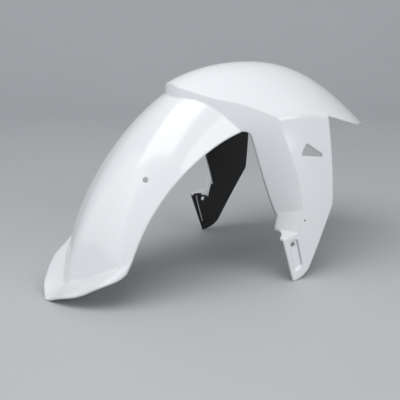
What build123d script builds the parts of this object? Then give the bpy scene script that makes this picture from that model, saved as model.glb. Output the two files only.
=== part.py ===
from build123d import *
from math import hypot, radians, sin, cos, sqrt
import os

# Sizes in millimetres. X runs forward, Y across and Z up from the ground.
# While the form is built, X = 0 is at the leg tips. It is moved to its middle at the end.
wall = 2.5

# The guard follows the tyre, so its sections are measured from the wheel's axle.
axle_x = 39.0
axle_z = -26.0
# Each row: angle about the axle, crest radius, half width, drop to the edge, crest slope.
guard_rows = [
    (178, 334.0, 85.0, 42.0, 0.36),
    (165, 328.0, 84.0, 42.0, 0.30),
    (150, 325.0, 81.5, 45.0, 0.20),
    (134, 325.0, 78.5, 54.0, 0.14),
    (118, 327.0, 74.0, 66.0, 0.10),
    (106, 317.0, 70.0, 66.0, 0.10),
]
guard_roundness = 3.2
guard_shares = (0.0, 0.25, 0.5, 0.75, 0.9, 1.0)
guard_foot_depth = 0.5

# The room for the wheel, cleared out of the guard.
guard_core_radius = 215.0
core_overlap = 1.0
wheel_half_width = 60.0

# The fold between the guard and its rear lip, a sloping line from the side.
fold_low = (-289.0, 17.0)
fold_high = (-233.0, 65.0)
fold_overlap = 2.5

# Rear lip. Each row: distance from the centre, then X, Z at the fold and at the outline.
lip_rows = [
    (0.0, -290.2, 16.0, -320.0, 0.0),
    (20.0, -282.3, 22.7, -312.8, 6.1),
    (45.0, -269.3, 33.9, -299.0, 14.8),
    (65.0, -252.5, 48.3, -281.0, 27.0),
    (77.0, -241.0, 58.0, -262.0, 36.5),
    (82.0, -235.5, 62.9, -248.5, 42.0),
    (84.5, -233.5, 64.6, -238.5, 50.0),
]

# The crown. Each row: X, crest height, drop at the shoulder.
crown_rows = [
    (-165, 251.0, 72.0),
    (-110, 278.7, 70.0),
    (-62, 290.0, 66.0),
    (-12, 292.2, 61.0),
    (40, 286.0, 56.0),
    (90, 269.0, 52.0),
    (140, 237.7, 46.0),
    (190, 196.8, 51.0),
    (228, 167.0, 44.0),
]
ridge_width = 40.0
shoulder_half_width = 99.0
shoulder_radius = 12.0
crown_shares = (0.0, 0.2, 0.4, 0.65, 0.85, 1.0)

# Half widths of the leg panels, at the rear and at the front edge, at knee, lower knee and foot.
panel_x = (6.0, 74.0)
panel_x_shares = (-0.1, 1.4)
panel_knee_z = (110.0, 71.0)
panel_foot_z = -20.0
panel_rear = (122.5, 125.0, 125.0)
panel_front = (111.0, 113.0, 115.0)

# The step that raises the crown above the guard, in plan, from the nose outwards.
nose_plan = [(0.0, -126.5), (14.5, -124.5), (31.0, -114.0), (46.0, -98.5), (57.5, -82.5)]
step_widths = (72.0, 100.0, 160.0)
# Beyond the nose it runs straight across, then on down as the rear face of each leg.
# Each row: height, X at the middle width, and how far X runs per unit across.
step_middle_width = 100.0
step_rows = [
    (300.0, -12.0, 1.45),
    (260.0, -12.0, 1.45),
    (220.0, -13.7, 1.58),
    (180.0, -9.5, 1.34),
    (140.0, -3.4, 1.02),
    (100.0, 1.4, 0.74),
    (60.0, 9.6, 0.70),
    (20.0, 18.3, 0.70),
    (panel_foot_z, 27.0, 0.70),
]
nose_top = 250.0
nose_foot = 215.0
nose_draft = 0.08

# The shelf under the rear face of each leg. Each row: half width, then X, Z of its corner.
shelf_rows = [(89.1, -9.7, 69.9), (125.0, 6.0, 71.5)]
shelf_lean = 0.27
ledge_fall = 0.21
# How far the form round the shelf runs across, along X, and above the shelf.
shelf_across = (50.0, 135.0)
shelf_along = (-90.0, 120.0)
shelf_rise = 60.0

# The free edge of the ledge in plan, from the shelf's corner round to the tab.
shelf_end = 87.5
ledge_edge = [(-9.2, 88.0), (-8.0, 97.0), (-11.5, 107.0), (-20.0, 115.5)]

# The outline of crown and legs seen from the side.
arch_rear = (-66.0, 213.0)
arch_top = (-46.0, 211.0)
arch_radius = 11.0
leg_shelf_top = (-4.4, 88.5)
leg_shelf_corner = shelf_rows[0][1:]
shelf_nick = 1.0
tab_corner = (-21.3, 65.8)
tab_toe = (29.5, 14.0)
tab_toe_middle = (16.0, 3.5)
leg_knee = (75.5, 98.0)
leg_front_middle = (76.0, 155.0)
beak_rear = (70.5, 223.0)
beak_side = (142.0, 198.0)
beak_low = (224.0, 168.0)

# The beak in plan, from its tip to where the side outline takes over.
beak_plan = [(217.0, 0.0), (190.0, 34.0), (160.0, 65.0), (135.0, 86.5), (112.0, 98.0), (84.0, 108.0)]

# Holes, the vent and the recess round the leg holes.
leg_hole_diameter = 6.5
leg_hole = (-1.0, 54.8)
leg_dimple_diameter = 5.0
leg_dimple_depth = 1.0
leg_dimple = (11.0, 19.0)
guard_hole_diameter = 7.0
guard_hole = (-196.3, -58.6, 162.7)
guard_hole_direction = (-0.56, -0.66, 0.49)
vent_corners = [(29.0, 191.0), (17.8, 176.6), (64.0, 167.4)]
vent_corner_radius = 2.0
recess_corners = [(-10.5, 62.0), (4.9, 62.0), (16.9, 15.5), (3.2, 9.5)]
recess_corner_radius = 3.5
recess_floor_end = [(15.2, 22.0), (1.5, 16.0)]
recess_depth = 4.5
dimple = (17.6, 86.8)
dimple_diameter = 3.0
dimple_depth = 1.0

# The forms and the cuts run past the part's own faces.
reach = 160.0
forms_top = 320.0
forms_low = -25.0
vent_cut_from = 60.0
hole_cut_from = 100.0
guard_hole_cut = 10.0
touching = 0.01


def shifted(points, distance):
    """A curve's points moved to its left by the distance, square to the curve."""
    moved = []
    for i, (a, b) in enumerate(points):
        a0, b0 = points[max(i - 1, 0)]
        a1, b1 = points[min(i + 1, len(points) - 1)]
        length = hypot(a1 - a0, b1 - b0)
        moved.append((a - (b1 - b0) / length * distance, b + (a1 - a0) / length * distance))
    return moved


def both_sides(half):
    """Points from the middle outwards, made into points from one side to the other."""
    return [(-a, b) for a, b in reversed(half[1:])] + half


def guard_section(row, inset):
    """A filled arch in the plane through the axle at one angle, with Y up as the radius."""
    angle, radius, half_width, drop, slope = row
    ridge = slope * half_width
    half = []
    for share in guard_shares:
        fall = ridge * share + (drop - ridge) * share**guard_roundness
        half.append((half_width * share, radius - fall))
    if inset:
        half = shifted(half, -inset)
        half[0] = (0.0, radius - inset)
    edge_width, edge_radius = half[-1]
    low = guard_core_radius if inset else edge_radius - guard_foot_depth
    turn = radians(angle)
    plane = Plane(origin=(axle_x, 0, axle_z), x_dir=(0, 1, 0), z_dir=(sin(turn), 0, -cos(turn)))
    up = 1 if plane.y_dir.dot(Vector(cos(turn), 0, sin(turn))) > 0 else -1
    crest = [(a, up * b) for a, b in both_sides(half)]
    foot = Polyline(crest[-1], (edge_width, up * low), (-edge_width, up * low), crest[0])
    return plane * make_face(Curve() + [Spline(*crest), foot])


def guard_form(inset):
    """Near half of the guard as a filled form."""
    return near_half(loft([guard_section(row, inset) for row in guard_rows]))


def blend(x, rear, front):
    """A half width of the leg panel at one place along X."""
    share = (x - panel_x[0]) / (panel_x[1] - panel_x[0])
    share = min(max(share, panel_x_shares[0]), panel_x_shares[1])
    return rear + (front - rear) * share


def rounded(before, corner, after, radius):
    """Start, middle and end of the arc that rounds a corner."""
    a = Vector(*before) - Vector(*corner)
    b = Vector(*after) - Vector(*corner)
    a, b = a.normalized(), b.normalized()
    half_turn = radians(180 - a.get_angle(b)) / 2
    back = radius * sin(half_turn) / cos(half_turn)
    depth = radius / cos(half_turn) - radius
    point = Vector(*corner)
    return point + a * back, point + (a + b).normalized() * depth, point + b * back


def crown_section(row, inset):
    """The crown's arch and the panels below it, at one place along X."""
    x, crest, shoulder_drop = row
    scale = shoulder_drop / (sqrt(1 + (shoulder_half_width / ridge_width) ** 2) - 1)
    arch = []
    for share in crown_shares:
        across = share * shoulder_half_width
        arch.append((across, crest - scale * (sqrt(1 + (across / ridge_width) ** 2) - 1)))
    if inset:
        arch = shifted(arch, -inset)
    widths = [min(blend(x, a, b), panel_rear[2]) - inset for a, b in zip(panel_rear, panel_front)]
    knee = (widths[0], panel_knee_z[0])
    ring = rounded(arch[-2], arch[-1], knee, shoulder_radius - inset)
    shoulder = [(point.X, point.Y) for point in ring]
    top = Spline(*both_sides(arch[:-1] + [shoulder[0]]))
    arcs, sides = [], []
    for side in (-1, 1):
        start, middle, end = [(side * across, z) for across, z in shoulder]
        knee = (side * widths[0], panel_knee_z[0])
        half_way = ((end[0] + knee[0]) / 2, (end[1] + knee[1]) / 2)
        low = (side * widths[1], panel_knee_z[1])
        foot = (side * widths[2], panel_foot_z - inset)
        arcs.append(ThreePointArc(start, middle, end))
        sides.append(Spline(end, half_way, knee, low, foot))
    foot = Line((-widths[2], panel_foot_z - inset), (widths[2], panel_foot_z - inset))
    plane = Plane(origin=(x, 0, 0), x_dir=(0, 1, 0), z_dir=(1, 0, 0))
    return plane * make_face(Curve() + [top, *arcs, *sides, foot])


def crown_form(inset):
    """Crown and panels as a filled form."""
    return loft([crown_section(row, inset) for row in crown_rows])


def plan_prism(points, low, high):
    """What lies behind a curve in plan, on both sides of the middle."""
    curve = Spline(*[(x, across) for across, x in both_sides([(across, x) for x, across in points])])
    (x, across), rear = points[-1], -2 * reach
    rest = Polyline((x, across), (x, reach), (rear, reach), (rear, -reach), (x, -reach), (x, -across))
    return extrude(Plane.XY.offset(low) * make_face(Curve() + [curve, rest]), high - low)


def step_section(row, inset):
    """What lies in front of the step at one height."""
    height, middle, run = row
    line = [(across, middle + run * (across - step_middle_width)) for across in step_widths]
    draft = nose_draft * min(max(nose_top - height, 0.0), nose_top - nose_foot)
    half = [(across, x - draft) for across, x in nose_plan] + line
    if inset:
        half = shifted(half, inset)
        half[0] = (0.0, half[0][1])
    outline = [(x, across) for across, x in both_sides(half)]
    (x0, y0), (x1, y1) = outline[0], outline[-1]
    front = 2 * reach
    rest = Polyline((x1, y1), (front, y1), (front, y0), (x0, y0))
    return Plane.XY.offset(height) * make_face(Curve() + [Spline(*outline), rest])


def step_form(inset):
    """What lies in front of the step, at all heights."""
    return loft([step_section(row, inset) for row in reversed(step_rows)])


def shelf_form(inset):
    """What lies under the shelf: the foot of each leg, with the tab at its rear."""
    (w0, x0, z0), (w1, x1, z1) = shelf_rows
    sections = []
    rear, front = shelf_along
    for across in shelf_across:
        share = (across - w0) / (w1 - w0)
        x = x0 + (x1 - x0) * share + inset * sqrt(1 + shelf_lean**2)
        z = z0 + (z1 - z0) * share - inset * sqrt(1 + ledge_fall**2)
        corners = [
            (rear, z + (rear - x) * ledge_fall),
            (x, z),
            (x + shelf_rise * shelf_lean, z + shelf_rise),
            (front, z + shelf_rise),
            (front, forms_low),
            (rear, forms_low),
        ]
        outline = make_face(Polyline(*corners, close=True))
        sections.append(Plane(origin=(0, -across, 0), x_dir=(1, 0, 0), z_dir=(0, -1, 0)) * outline)
    return loft(sections, ruled=True)


def near_half(form):
    """The half of a form on the near side, where Y is negative."""
    return form & Pos(0, -2 * reach, 0) * Box(8 * reach, 4 * reach, 8 * reach)


def cover_form(inset):
    """Near half of crown and leg as a filled form."""
    return near_half(crown_form(inset)) & (near_half(step_form(inset)) + shelf_form(inset))


def side_outline():
    """Crown and legs seen from the side, as a prism right across."""
    toe = ThreePointArc((0, 0), tab_toe_middle, tab_toe)
    lower_front = Line(tab_toe, leg_knee)
    front = ThreePointArc(leg_knee, leg_front_middle, beak_rear)
    rest = Polyline(
        beak_rear,
        beak_side,
        beak_low,
        (beak_low[0], forms_top),
        (-reach, forms_top),
        (-reach, arch_rear[1]),
        arch_rear,
        arch_top,
        leg_shelf_top,
        leg_shelf_corner,
        (leg_shelf_corner[0] - shelf_nick, leg_shelf_corner[1] + shelf_nick),
        tab_corner,
        (0, 0),
    )
    face = make_face(Curve() + [toe, lower_front, front, rest])
    arch = face.vertices().sort_by_distance((arch_top[0], arch_top[1], 0))[0]
    knee = face.vertices().sort_by_distance((leg_knee[0], leg_knee[1], 0))[0]
    return extrude(Plane.XZ * fillet([arch, knee], arch_radius), reach, both=True)


def ledge_waste():
    """What is cut from the ledge behind its free edge."""
    edge = Spline(*ledge_edge)
    (x0, w0), (x1, w1) = ledge_edge[0], ledge_edge[-1]
    tab = (tab_corner[0], panel_rear[2])
    run_out, rear = 4.0, -100.0
    rest = Polyline((x1, w1), tab, (tab[0] - run_out, reach), (rear, reach), (rear, 0), (x0, 0), (x0, w0))
    low, above = 45.0, 2.0
    high = leg_shelf_corner[1] + above
    cut = extrude(Plane.XY.offset(low) * make_face(Curve() + [edge, rest]), high - low)
    return mirror(cut, about=Plane.XZ)


def inner_end():
    """What is cut from the inner end of the shelf, so that the wall ends square to its face."""
    rear, front, top = -40.0, 10.0, leg_shelf_top[1]
    middle = ((rear + front) / 2, -shelf_end / 2, top / 2)
    return Pos(*middle) * Box(front - rear, shelf_end, top)


def side_prism(face, near, far):
    """An outline in the side view, run out from near to far."""
    return extrude(Plane(origin=(0, -near, 0), x_dir=(1, 0, 0), z_dir=(0, -1, 0)) * face, far - near)


def vent():
    """The three-cornered opening in the panel."""
    face = make_face(Polyline(*vent_corners, close=True))
    return side_prism(fillet(face.vertices(), vent_corner_radius), vent_cut_from, reach)


def leg_fixings():
    """The round hole through the tab, and the blind dimple below it on the inside."""
    hole = Pos(*leg_hole) * Circle(leg_hole_diameter / 2)
    blind = Pos(*leg_dimple) * Circle(leg_dimple_diameter / 2)
    inside = panel_rear[2] - recess_depth - wall
    dimple_cut = side_prism(blind, inside - wall, inside + leg_dimple_depth)
    return side_prism(hole, hole_cut_from, reach) + dimple_cut


def guard_side_hole():
    """The round hole in the side of the guard."""
    plane = Plane(origin=guard_hole, z_dir=guard_hole_direction)
    return extrude(plane * Circle(guard_hole_diameter / 2), guard_hole_cut, both=True)


def recess_outline(corners, grow):
    """A rounded outline of the recess, grown on all sides."""
    face = make_face(Polyline(*corners, close=True))
    if grow:
        face = offset(face, grow, kind=Kind.INTERSECTION)
    return fillet(face.vertices(), recess_corner_radius + grow)


def recess(grow):
    """The recess let into the tab from outside, with its sloping lower end, or its back seen from inside."""
    mouth = recess_outline(recess_corners, grow)
    floor = recess_outline(recess_corners[:2] + recess_floor_end, grow)
    depth_at = ((panel_rear[2] - recess_depth - grow, floor), (panel_rear[2], mouth))
    facing = {"x_dir": (1, 0, 0), "z_dir": (0, -1, 0)}
    sections = [Plane(origin=(0, -across, 0), **facing) * face for across, face in depth_at]
    return loft(sections, ruled=True) + side_prism(mouth, panel_rear[2], reach)


def dimple_hole():
    """The small blind dimple in the outside of the panel."""
    spot = Pos(*dimple) * Circle(dimple_diameter / 2)
    share = (dimple[0] - panel_x[0]) / (panel_x[1] - panel_x[0])
    across = panel_rear[1] + (panel_front[1] - panel_rear[1]) * share
    return side_prism(Sketch() + spot, across - dimple_depth, reach)


def lip():
    """Near half of the flared lip behind the fold, lofted from the middle out to the corner."""
    sections = []
    for across, fold_x, fold_z, x, z in lip_rows:
        run, rise = fold_x - x, fold_z - z
        length = hypot(run, rise)
        along = Vector(run / length, rise / length) * wall
        up = Vector(-rise / length, run / length) * wall
        fold, edge = Vector(fold_x, fold_z), Vector(x, z)
        corners = [fold + along, edge + up, edge, fold + along - up]
        outline = make_face(Polyline(*corners, close=True))
        sections.append(Plane(origin=(0, -across, 0), x_dir=(1, 0, 0), z_dir=(0, -1, 0)) * outline)
    return loft(sections)


def behind_fold():
    """What the guard loses at its foot, where the lip takes over."""
    run, rise = fold_high[0] - fold_low[0], fold_high[1] - fold_low[1]
    a = (fold_low[0] - run, fold_low[1] - rise - fold_overlap)
    b = (fold_high[0] + run, fold_high[1] + rise - fold_overlap)
    low = -150.0
    face = make_face(Polyline(a, b, (b[0], low), (a[0], low), close=True))
    return extrude(Plane.XZ * face, reach, both=True)


def wheel_space():
    """The room inside the guard, cleared round the axle."""
    room = Cylinder(guard_core_radius + core_overlap, 2 * wheel_half_width)
    return Pos(axle_x, 0, axle_z) * Rot(90, 0, 0) * room


def near_shell():
    """The near half with all its cuts, still closed by a face along the middle."""
    beak = plan_prism(beak_plan, forms_low, forms_top)
    cover = (cover_form(0) & side_outline()) & beak
    outer = (cover + (guard_form(0) - behind_fold())) - recess(0)
    inner = (cover_form(wall) + guard_form(wall)) - recess(wall)
    shell = (outer - inner - wheel_space()) + lip()
    shell = shell - ledge_waste() - inner_end()
    return shell - vent() - leg_fixings() - guard_side_hole() - dimple_hole()


def on_middle(face):
    """True for a face of the cut along the middle."""
    box = face.bounding_box()
    return box.max.Y > -touching and box.max.Y - box.min.Y < touching


def mudguard():
    """Both halves as one piece, with its origin at floor level under the middle."""
    near = [face for face in near_shell().faces() if not on_middle(face)]
    far = [mirror(face, about=Plane.XZ) for face in near]
    whole = Solid(Shell(near + far))
    box = whole.bounding_box()
    return Pos(-(box.min.X + box.max.X) / 2, 0, -box.min.Z) * whole


shell = mudguard()
os.makedirs("parts", exist_ok=True)
export_step(shell, "parts/mudguard_shell.step")
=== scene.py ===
"""Looks of the motorcycle front mudguard: gloss white moulding, near-black inside, on a pale floor.

Lengths are in metres, angles in radians and powers in watts. Colours are linear.
"""

import math

import bpy
from mathutils import Matrix, Vector
from mathutils.bvhtree import BVHTree
from mathutils.geometry import intersect_line_line


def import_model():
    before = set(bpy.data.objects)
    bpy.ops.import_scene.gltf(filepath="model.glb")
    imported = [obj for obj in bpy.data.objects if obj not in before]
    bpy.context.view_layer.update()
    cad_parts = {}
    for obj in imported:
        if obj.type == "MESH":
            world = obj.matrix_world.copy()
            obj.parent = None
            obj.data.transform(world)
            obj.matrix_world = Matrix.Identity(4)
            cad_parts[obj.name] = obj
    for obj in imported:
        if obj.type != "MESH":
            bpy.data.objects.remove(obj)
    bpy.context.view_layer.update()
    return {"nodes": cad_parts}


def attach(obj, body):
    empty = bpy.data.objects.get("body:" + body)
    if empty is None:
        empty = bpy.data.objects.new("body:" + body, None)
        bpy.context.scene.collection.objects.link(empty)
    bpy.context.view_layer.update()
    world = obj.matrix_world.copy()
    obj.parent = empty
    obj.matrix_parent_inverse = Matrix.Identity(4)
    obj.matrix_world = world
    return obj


# The camera.
CAMERA_PLACE = (-0.6303, -0.9923, 0.4839)
CAMERA_YAW = -0.547
CAMERA_PITCH = 0.3199
LENS_MM = 76.5
SENSOR_MM = 36.0
CLIP_START = 0.05
CLIP_END = 20.0

# The light: each lamp's name, place, aim, sides and power, and the even light all round.
LAMPS = (
    ("top_soft", (-0.5, -0.3, 1.6), (0, 0, 0.10), (1.6, 1.2), 14.0),
    ("left_key", (-1.5, -0.6, 0.9), (0, 0, 0.15), (0.6, 0.9), 0.2),
    ("left_wash", (-2.4, 0.2, 1.3), (0, 0, 0.10), (2.4, 2.0), 12.5),
    ("front_fill", (0.9, -2.7, 1.2), (0, 0, 0.15), (2.4, 1.8), 27.0),
)
SKY_COLOUR = (0.80, 0.84, 0.90, 1.0)
SKY_STRENGTH = 0.37

# The floor, square to the camera, which bends up into a wall behind the part.
FLOOR_HALF_WIDTH = 14.0
FLOOR_FRONT = -18.0
FLOOR_BACK = 1.9
WALL_HEIGHT = 3.2
FLOOR_BEND = 0.9
FLOOR_BEND_STEPS = 24
FLOOR_COLOURS = ((0.54, 0.55, 0.56, 1.0), (0.58, 0.59, 0.60, 1.0))
FLOOR_ROUGHNESS = 0.6
FLOOR_CLOUD_SCALE = 3.0

# The white paint outside: a faint haze in colour and gloss, and a faint orange peel.
PAINT_COLOURS = ((0.86, 0.87, 0.885, 1.0), (0.90, 0.91, 0.92, 1.0))
PAINT_ROUGHNESS = (0.16, 0.22)
PAINT_COAT = 0.6
COAT_ROUGHNESS = 0.06
REFRACTION = 1.5
HAZE_SCALE = 9.0
PEEL_SCALE = 60.0

# The bare plastic inside, with a fine grain.
PLASTIC_COLOURS = ((0.006, 0.006, 0.0065, 1.0), (0.014, 0.014, 0.015, 1.0))
PLASTIC_ROUGHNESS = (0.42, 0.60)
GRAIN_SCALE = 1400.0

# How much peel and grain stand out, and the radius of the soft corners of the moulding.
BUMP_STRENGTH = 0.05
BUMP_HEIGHT = 0.0004
CORNER_RADIUS = 0.0040
CORNER_SAMPLES = 12

# The wheel's axle. Faces that look back to it are the inside of the moulding. Cut edges look along
# the wall, so they count as outside, and so does what looks up. Across the part, distances count
# more, for the flat legs. Each pair is where a soft step starts and ends.
AXLE_PLACE = (0.0911, 0.0, -0.0257)
ACROSS_WEIGHT = (1.0, 2.5, 1.0)
INSIDE_FACING = (-0.33, -0.27)
LOOKING_UP = (0.25, 0.35)
# The paint runs a little way round the tip of the beak onto its inside, from this X on.
BEAK_OVERSPRAY = (0.248, 0.260)

# A small dark grey spot painted over the drilled dimple in each leg panel.
MARK_PLACE = (0.0697, 0.1227, 0.0871)
MARK_RADIUS = (0.0013, 0.0019)
MARK_COLOUR = (0.16, 0.16, 0.165, 1.0)

# The fold between the guard and its lip is looked for at these distances from the middle, by slanted
# rays set this far apart. The sum of X and Z of every ray lies in this range.
FOLD_DISTANCES = (0.0, 0.020, 0.045, 0.065, 0.077)
FOLD_RAY_RANGE = (-0.245, -0.120)
FOLD_RAY_GAP = 0.0001
# Rays start this far away from the skin that they look for.
FOLD_RAY_START = 0.4
EDGE_RAY_START = 0.1

# The paint's fillet in that fold: how far it reaches to each side, how far up the guard and out on the
# lip, what share of that is left at its ends, how late it tapers, and how deep it goes into the wall.
FILLET_REACH = 0.073
FILLET_SIZE = 0.0065
FILLET_END = 0.2
FILLET_TAPER = 8
FILLET_DEPTH = 0.0012
# Its edges run on under the skin: this far on and this far down, as shares of its size.
FLANGE_LENGTH = 0.3
FLANGE_DEPTH = 0.035
FILLET_STATIONS = 72
FILLET_STEPS = 8


def node(tree, kind, **settings):
    """A new shader node with its settings."""
    made = tree.nodes.new(kind)
    for name, value in settings.items():
        setattr(made, name, value)
    return made


def link(tree, start, end):
    """Joins one node's output to another's input."""
    tree.links.new(start, end)


def ramp(tree, source, low, high):
    """A smooth step from 0 at low to 1 at high."""
    made = node(tree, "ShaderNodeMapRange", interpolation_type="SMOOTHSTEP")
    link(tree, source, made.inputs["Value"])
    made.inputs["From Min"].default_value = low
    made.inputs["From Max"].default_value = high
    return made.outputs["Result"]


def spread(tree, share, low, high):
    """A value between two numbers, by a share from 0 to 1."""
    made = node(tree, "ShaderNodeMapRange")
    link(tree, share, made.inputs["Value"])
    made.inputs["To Min"].default_value = low
    made.inputs["To Max"].default_value = high
    return made.outputs["Result"]


def mix_colour(tree, share, first, second):
    """A mix of two colours, each given as numbers or as an output."""
    # The names of a Mix node's sockets repeat, so they are taken by number, here and below.
    made = node(tree, "ShaderNodeMix", data_type="RGBA")
    link(tree, share, made.inputs["Factor"])
    for socket, value in ((made.inputs[6], first), (made.inputs[7], second)):
        if isinstance(value, tuple):
            socket.default_value = value
        else:
            link(tree, value, socket)
    return made.outputs[2]


def mix_value(tree, share, first, second):
    """A mix of two values that are outputs of other nodes."""
    made = node(tree, "ShaderNodeMix", data_type="FLOAT")
    link(tree, share, made.inputs["Factor"])
    link(tree, first, made.inputs[2])
    link(tree, second, made.inputs[3])
    return made.outputs[0]


def larger(tree, first, second):
    """The larger of two values."""
    made = node(tree, "ShaderNodeMath", operation="MAXIMUM")
    link(tree, first, made.inputs[0])
    link(tree, second, made.inputs[1])
    return made.outputs["Value"]


def vector_step(tree, operation, source, constant=None):
    """One vector operation on an output, with a fixed second vector where it has one."""
    made = node(tree, "ShaderNodeVectorMath", operation=operation)
    link(tree, source, made.inputs[0])
    if constant:
        made.inputs[1].default_value = constant
    return made


def part_of(tree, vector, axis):
    """One of the X, Y and Z of a vector."""
    made = node(tree, "ShaderNodeSeparateXYZ")
    link(tree, vector, made.inputs["Vector"])
    return made.outputs[axis]


def noise(tree, coordinates, scale, detail):
    """Procedural noise from 0 to 1."""
    made = node(tree, "ShaderNodeTexNoise")
    link(tree, coordinates, made.inputs["Vector"])
    made.inputs["Scale"].default_value = scale
    made.inputs["Detail"].default_value = detail
    return made.outputs["Fac"]


def new_material(name):
    """A material with its node tree and its shader."""
    material = bpy.data.materials.new(name)
    material.use_nodes = True
    tree = material.node_tree
    return material, tree, tree.nodes["Principled BSDF"]


def object_coordinates(tree):
    """The place on the object, for the noises."""
    return node(tree, "ShaderNodeTexCoord").outputs["Object"]


def drilled_mark(tree, position):
    """0 inside the drilled mark of either leg panel, 1 away from it."""
    near_half = vector_step(tree, "ABSOLUTE", position)
    apart = vector_step(tree, "DISTANCE", near_half.outputs["Vector"], MARK_PLACE)
    return ramp(tree, apart.outputs["Value"], *MARK_RADIUS)


def outside_share(tree, place):
    """1 where the moulding is painted and 0 on its bare inside."""
    away = vector_step(tree, "SUBTRACT", place.outputs["Position"], AXLE_PLACE)
    weighted = vector_step(tree, "MULTIPLY", away.outputs["Vector"], ACROSS_WEIGHT)
    unit = vector_step(tree, "NORMALIZE", weighted.outputs["Vector"])
    facing = vector_step(tree, "DOT_PRODUCT", unit.outputs["Vector"])
    link(tree, place.outputs["True Normal"], facing.inputs[1])
    outward = ramp(tree, facing.outputs["Value"], *INSIDE_FACING)
    upward = ramp(tree, part_of(tree, place.outputs["True Normal"], "Z"), *LOOKING_UP)
    beak = ramp(tree, part_of(tree, place.outputs["Position"], "X"), *BEAK_OVERSPRAY)
    return larger(tree, larger(tree, outward, upward), beak)


def gloss_paint(tree, coordinates):
    """Colour and roughness of the white paint, both a little uneven."""
    haze = noise(tree, coordinates, HAZE_SCALE, detail=2.0)
    return mix_colour(tree, haze, *PAINT_COLOURS), spread(tree, haze, *PAINT_ROUGHNESS)


def soft_corners(tree, height):
    """A normal with soft corners that also carries the fine relief."""
    bump = node(tree, "ShaderNodeBump")
    link(tree, height, bump.inputs["Height"])
    bump.inputs["Strength"].default_value = BUMP_STRENGTH
    bump.inputs["Distance"].default_value = BUMP_HEIGHT
    corners = node(tree, "ShaderNodeBevel", samples=CORNER_SAMPLES)
    corners.inputs["Radius"].default_value = CORNER_RADIUS
    link(tree, corners.outputs["Normal"], bump.inputs["Normal"])
    return bump.outputs["Normal"]


def shell_material():
    """Gloss white on faces that look away from the axle, near-black satin on the others."""
    material, tree, shader = new_material("shell_two_sided")
    place = node(tree, "ShaderNodeNewGeometry")
    outside = outside_share(tree, place)
    coordinates = object_coordinates(tree)
    grain = noise(tree, coordinates, GRAIN_SCALE, detail=2.0)
    peel = noise(tree, coordinates, PEEL_SCALE, detail=1.0)
    paint, gloss = gloss_paint(tree, coordinates)

    white = mix_colour(tree, drilled_mark(tree, place.outputs["Position"]), MARK_COLOUR, paint)
    black = mix_colour(tree, grain, *PLASTIC_COLOURS)
    link(tree, mix_colour(tree, outside, black, white), shader.inputs["Base Color"])
    satin = spread(tree, grain, *PLASTIC_ROUGHNESS)
    link(tree, mix_value(tree, outside, satin, gloss), shader.inputs["Roughness"])
    link(tree, spread(tree, outside, 0.0, PAINT_COAT), shader.inputs["Coat Weight"])
    shader.inputs["Coat Roughness"].default_value = COAT_ROUGHNESS
    shader.inputs["IOR"].default_value = REFRACTION
    link(tree, soft_corners(tree, mix_value(tree, outside, grain, peel)), shader.inputs["Normal"])
    return material


def fold_material():
    """The same paint where it rounds the fold, without softened corners."""
    material, tree, shader = new_material("fold_paint")
    colour, gloss = gloss_paint(tree, object_coordinates(tree))
    link(tree, colour, shader.inputs["Base Color"])
    link(tree, gloss, shader.inputs["Roughness"])
    shader.inputs["Coat Weight"].default_value = PAINT_COAT
    shader.inputs["Coat Roughness"].default_value = COAT_ROUGHNESS
    shader.inputs["IOR"].default_value = REFRACTION
    return material


def floor_material():
    """Plain pale grey, a little uneven."""
    material, tree, shader = new_material("pale_floor")
    cloud = noise(tree, object_coordinates(tree), FLOOR_CLOUD_SCALE, detail=3.0)
    link(tree, mix_colour(tree, cloud, *FLOOR_COLOURS), shader.inputs["Base Color"])
    shader.inputs["Roughness"].default_value = FLOOR_ROUGHNESS
    return material


def new_mesh_object(name, points, faces, material):
    """An object from its points and faces, in the scene."""
    mesh = bpy.data.meshes.new(name)
    mesh.from_pydata(points, [], faces)
    mesh.materials.append(material)
    made = bpy.data.objects.new(name, mesh)
    bpy.context.scene.collection.objects.link(made)
    return made


def find_fold(skin, across):
    """The deepest point of the corner between guard and lip, looking in from above and behind."""
    slant = Vector((1, 0, -1)).normalized()
    low, high = FOLD_RAY_RANGE
    hits = []
    for i in range(round((high - low) / FOLD_RAY_GAP)):
        half = (low + i * FOLD_RAY_GAP) / 2
        start = Vector((half, across, half)) - slant * FOLD_RAY_START
        hit = skin.ray_cast(start, slant)[0]
        if hit:
            hits.append(hit)
    return max(hits, key=slant.dot)


def fold_at(folds, across):
    """The fold's point at one distance from the middle, between the points that were looked for."""
    for near, far in zip(folds, folds[1:]):
        if abs(across) <= far.y:
            spot = near.lerp(far, (abs(across) - near.y) / (far.y - near.y))
            return Vector((spot.x, across, spot.z))


def fillet_ring(skin, folds, across):
    """One closed section of the fillet: its hollow face from guard to lip, and a point in the wall."""
    taper = (1 - FILLET_END**2) * (across / FILLET_REACH) ** FILLET_TAPER
    size = FILLET_SIZE * math.sqrt(1 - taper)
    fold = fold_at(folds, across)
    guard, lip = [], []
    for away in (size, 2 * size):
        start = fold + Vector((-EDGE_RAY_START, 0, away))
        guard.append(skin.ray_cast(start, Vector((1, 0, 0)))[0])
        start = fold + Vector((-away, 0, EDGE_RAY_START))
        lip.append(skin.ray_cast(start, Vector((0, 0, -1)))[0])
    corner = intersect_line_line(guard[1], guard[0], lip[1], lip[0])[0]
    inward = (2 * corner - guard[0] - lip[0]).normalized()
    sunk = inward * size * FLANGE_DEPTH
    ring = [guard[0] + (guard[0] - corner) * FLANGE_LENGTH + sunk]
    for i in range(FILLET_STEPS + 1):
        t = i / FILLET_STEPS
        ring.append(guard[0] * (1 - t) ** 2 + corner * 2 * t * (1 - t) + lip[0] * t**2)
    ring.append(lip[0] + (lip[0] - corner) * FLANGE_LENGTH + sunk)
    ring.append(corner + inward * FILLET_DEPTH)
    return ring


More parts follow.
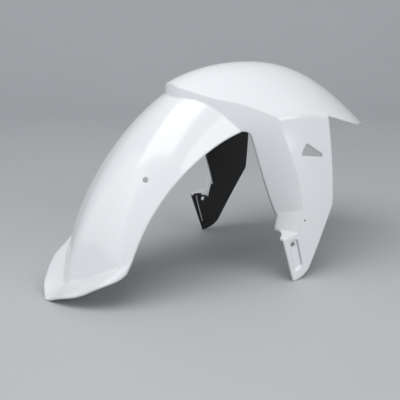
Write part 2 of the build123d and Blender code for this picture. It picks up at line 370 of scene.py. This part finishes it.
def build_fold_fillet(shell):
    """The soft inside corner of the paint between guard and lip, laid on the shell's own skin."""
    skin = BVHTree.FromObject(shell, bpy.context.evaluated_depsgraph_get())
    folds = [find_fold(skin, distance) for distance in FOLD_DISTANCES]
    points = []
    for i in range(FILLET_STATIONS + 1):
        ring = fillet_ring(skin, folds, FILLET_REACH * (2 * i / FILLET_STATIONS - 1))
        points += ring
    count = len(ring)
    faces = []
    for i in range(FILLET_STATIONS):
        for j in range(count):
            here = i * count + j
            beside = i * count + (j + 1) % count
            faces.append((here, here + count, beside + count, beside))
    faces.append(tuple(range(count)))
    faces.append(tuple(FILLET_STATIONS * count + j for j in reversed(range(count))))
    fillet = new_mesh_object("fold_fillet", points, faces, fold_material())
    # The last two faces of each round lie in the wall, and the very last two close the ends.
    for face in fillet.data.polygons:
        closing = face.index >= FILLET_STATIONS * count
        face.use_smooth = not closing and face.index % count < count - 2
    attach(fillet, "root")


def build_floor():
    """The floor and the wall it bends into, in one sheet."""
    profile = [(FLOOR_FRONT, 0.0), (FLOOR_BACK - FLOOR_BEND, 0.0)]
    for i in range(1, FLOOR_BEND_STEPS + 1):
        turn = math.pi / 2 * i / FLOOR_BEND_STEPS
        distance = FLOOR_BACK - FLOOR_BEND + FLOOR_BEND * math.sin(turn)
        profile.append((distance, FLOOR_BEND * (1 - math.cos(turn))))
    profile.append((FLOOR_BACK, WALL_HEIGHT))
    away = Vector((-math.sin(CAMERA_YAW), math.cos(CAMERA_YAW), 0))
    across = Vector((math.cos(CAMERA_YAW), math.sin(CAMERA_YAW), 0))
    points, faces = [], []
    for distance, height in profile:
        for side in (-FLOOR_HALF_WIDTH, FLOOR_HALF_WIDTH):
            points.append(away * distance + across * side + Vector((0, 0, height)))
    for i in range(len(profile) - 1):
        faces.append((2 * i, 2 * i + 1, 2 * i + 3, 2 * i + 2))
    floor = new_mesh_object("floor", points, faces, floor_material())
    for face in floor.data.polygons:
        face.use_smooth = True


def build_camera():
    """The camera, level across, at the photograph's viewing angle."""
    data = bpy.data.cameras.new("camera")
    data.lens = LENS_MM
    data.sensor_width = SENSOR_MM
    data.dof.use_dof = False
    data.clip_start = CLIP_START
    data.clip_end = CLIP_END
    camera = bpy.data.objects.new("camera", data)
    camera.location = CAMERA_PLACE
    back = Vector((
        math.sin(CAMERA_YAW) * math.cos(CAMERA_PITCH),
        -math.cos(CAMERA_YAW) * math.cos(CAMERA_PITCH),
        math.sin(CAMERA_PITCH),
    ))
    right = Vector((math.cos(CAMERA_YAW), math.sin(CAMERA_YAW), 0))
    up = back.cross(right)
    camera.rotation_mode = "QUATERNION"
    camera.rotation_quaternion = Matrix((right, up, back)).transposed().to_quaternion()
    bpy.context.scene.collection.objects.link(camera)
    bpy.context.scene.camera = camera


def area_light(name, place, aim, sides, power):
    """One soft rectangular lamp."""
    data = bpy.data.lights.new(name, "AREA")
    data.shape = "RECTANGLE"
    data.size, data.size_y = sides
    data.energy = power
    lamp = bpy.data.objects.new(name, data)
    lamp.location = place
    lamp.rotation_euler = (Vector(aim) - Vector(place)).to_track_quat("-Z", "Y").to_euler()
    bpy.context.scene.collection.objects.link(lamp)


def build_light():
    """The lamps and the even light all round."""
    world = bpy.data.worlds.new("studio")
    world.use_nodes = True
    background = world.node_tree.nodes["Background"]
    background.inputs["Color"].default_value = SKY_COLOUR
    background.inputs["Strength"].default_value = SKY_STRENGTH
    bpy.context.scene.world = world
    for lamp in LAMPS:
        area_light(*lamp)


def main():
    """The whole scene."""
    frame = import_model()
    material = shell_material()
    for piece in frame["nodes"].values():
        for slot in piece.material_slots:
            slot.link = "OBJECT"
            slot.material = material
    build_fold_fillet(frame["nodes"]["mudguard_shell"])
    build_floor()
    build_camera()
    build_light()
    bpy.context.scene.view_settings.view_transform = "Standard"


main()
